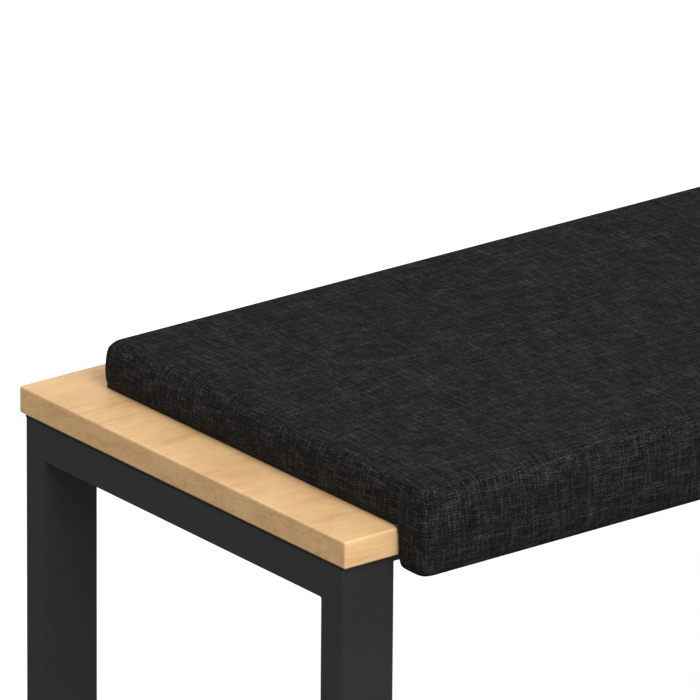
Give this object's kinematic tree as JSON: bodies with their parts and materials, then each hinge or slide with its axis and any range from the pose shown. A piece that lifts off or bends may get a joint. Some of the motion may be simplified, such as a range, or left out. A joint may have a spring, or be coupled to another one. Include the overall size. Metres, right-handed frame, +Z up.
{
  "type": "entryway bench",
  "caption": "Entryway bench with a light wood top on black steel tube frames, levelling feet and a lift-off black fabric pad that rolls over the front edge.",
  "frame": {"origin": "on the floor, under the middle of the bench's whole outline, the pad's front lip included", "axes": "+X runs along the bench, to the right as seen from the front; the front, where the pad hangs over the edge, faces -Y; +Z is up"},
  "size_m": [1.2192, 0.4414, 0.4967],
  "materials": {
    "maple": "clear satin lacquer",
    "black_steel": "fine matt powder coat",
    "black_oxide_steel": "black oxide",
    "zinc_steel": "bright zinc plate",
    "brass_insert": "machined",
    "black_foam_tape": "matt closed-cell tape",
    "black_nylon": "moulded, finely textured",
    "sole_rubber": "matt",
    "black_woven_fabric": "coarse heathered weave",
    "seat_foam": "open-cell foam",
    "plywood": "raw, sanded",
    "dust_cloth": "non-woven cloth",
    "mat_rubber": "matt, fine grip texture",
    "hook_and_loop": "woven tape"
  },
  "bodies": {
    "bench": {"bench_top": "maple", "left_front_leg": "black_steel", "left_rear_leg": "black_steel", "right_front_leg": "black_steel", "right_rear_leg": "black_steel", "left_end_rail": "black_steel", "right_end_rail": "black_steel", "front_side_rail": "black_steel", "rear_side_rail": "black_steel", "centre_cross_rail": "black_steel", "left_front_end_plate": "black_steel", "left_rear_end_plate": "black_steel", "right_front_end_plate": "black_steel", "right_rear_end_plate": "black_steel", "top_brackets": "black_steel", "end_plate_bolts": "black_oxide_steel", "top_screws": "black_oxide_steel", "weld_nuts": "zinc_steel", "top_washers": "zinc_steel", "foot_inserts": "zinc_steel", "top_inserts": "brass_insert", "left_damping_strip": "black_foam_tape", "right_damping_strip": "black_foam_tape", "front_damping_strip": "black_foam_tape", "rear_damping_strip": "black_foam_tape", "left_front_leg_plug": "black_nylon", "left_rear_leg_plug": "black_nylon", "right_front_leg_plug": "black_nylon", "right_rear_leg_plug": "black_nylon", "hook_strips": "hook_and_loop"},
    "seat_pad": {"cushion_cover": "black_woven_fabric", "foam_core": "seat_foam", "front_roll_foam": "seat_foam", "seat_board": "plywood", "nosing_board": "plywood", "board_screws": "zinc_steel", "cover_staples": "zinc_steel", "dust_cover": "dust_cloth", "anti_slip_mat": "mat_rubber", "loop_strips": "hook_and_loop"},
    "left_front_foot": {"left_front_foot_pad": "black_nylon", "left_front_foot_sole": "sole_rubber"},
    "left_front_stem": {"left_front_foot_stem": "zinc_steel"},
    "left_rear_foot": {"left_rear_foot_pad": "black_nylon", "left_rear_foot_sole": "sole_rubber"},
    "left_rear_stem": {"left_rear_foot_stem": "zinc_steel"},
    "right_front_foot": {"right_front_foot_pad": "black_nylon", "right_front_foot_sole": "sole_rubber"},
    "right_front_stem": {"right_front_foot_stem": "zinc_steel"},
    "right_rear_foot": {"right_rear_foot_pad": "black_nylon", "right_rear_foot_sole": "sole_rubber"},
    "right_rear_stem": {"right_rear_foot_stem": "zinc_steel"}
  },
  "joints": [
    {"name": "seat_pad_lift", "type": "slide", "parent": "bench", "child": "seat_pad", "axis": [0, 0, 1], "range_m": [0, 0.12]},
    {"name": "left_front_foot_height", "type": "slide", "parent": "bench", "child": "left_front_foot", "axis": [0, 0, -1], "range_m": [0, 0.01]},
    {"name": "left_front_stem_turn", "type": "hinge", "parent": "left_front_foot", "child": "left_front_stem", "pos_m": [-0.583, -0.167, 0.025], "axis": [0, 0, -1], "range_deg": [0, 2880]},
    {"name": "left_rear_foot_height", "type": "slide", "parent": "bench", "child": "left_rear_foot", "axis": [0, 0, -1], "range_m": [0, 0.01]},
    {"name": "left_rear_stem_turn", "type": "hinge", "parent": "left_rear_foot", "child": "left_rear_stem", "pos_m": [-0.583, 0.202, 0.025], "axis": [0, 0, -1], "range_deg": [0, 2880]},
    {"name": "right_front_foot_height", "type": "slide", "parent": "bench", "child": "right_front_foot", "axis": [0, 0, -1], "range_m": [0, 0.01]},
    {"name": "right_front_stem_turn", "type": "hinge", "parent": "right_front_foot", "child": "right_front_stem", "pos_m": [0.583, -0.167, 0.025], "axis": [0, 0, -1], "range_deg": [0, 2880]},
    {"name": "right_rear_foot_height", "type": "slide", "parent": "bench", "child": "right_rear_foot", "axis": [0, 0, -1], "range_m": [0, 0.01]},
    {"name": "right_rear_stem_turn", "type": "hinge", "parent": "right_rear_foot", "child": "right_rear_stem", "pos_m": [0.583, 0.202, 0.025], "axis": [0, 0, -1], "range_deg": [0, 2880]}
  ],
  "couplings": [
    {"joint": "left_front_stem_turn", "follows": "left_front_foot_height", "rad_per_m": 5026.5},
    {"joint": "left_rear_stem_turn", "follows": "left_rear_foot_height", "rad_per_m": 5026.5},
    {"joint": "right_front_stem_turn", "follows": "right_front_foot_height", "rad_per_m": 5026.5},
    {"joint": "right_rear_stem_turn", "follows": "right_rear_foot_height", "rad_per_m": 5026.5}
  ]
}
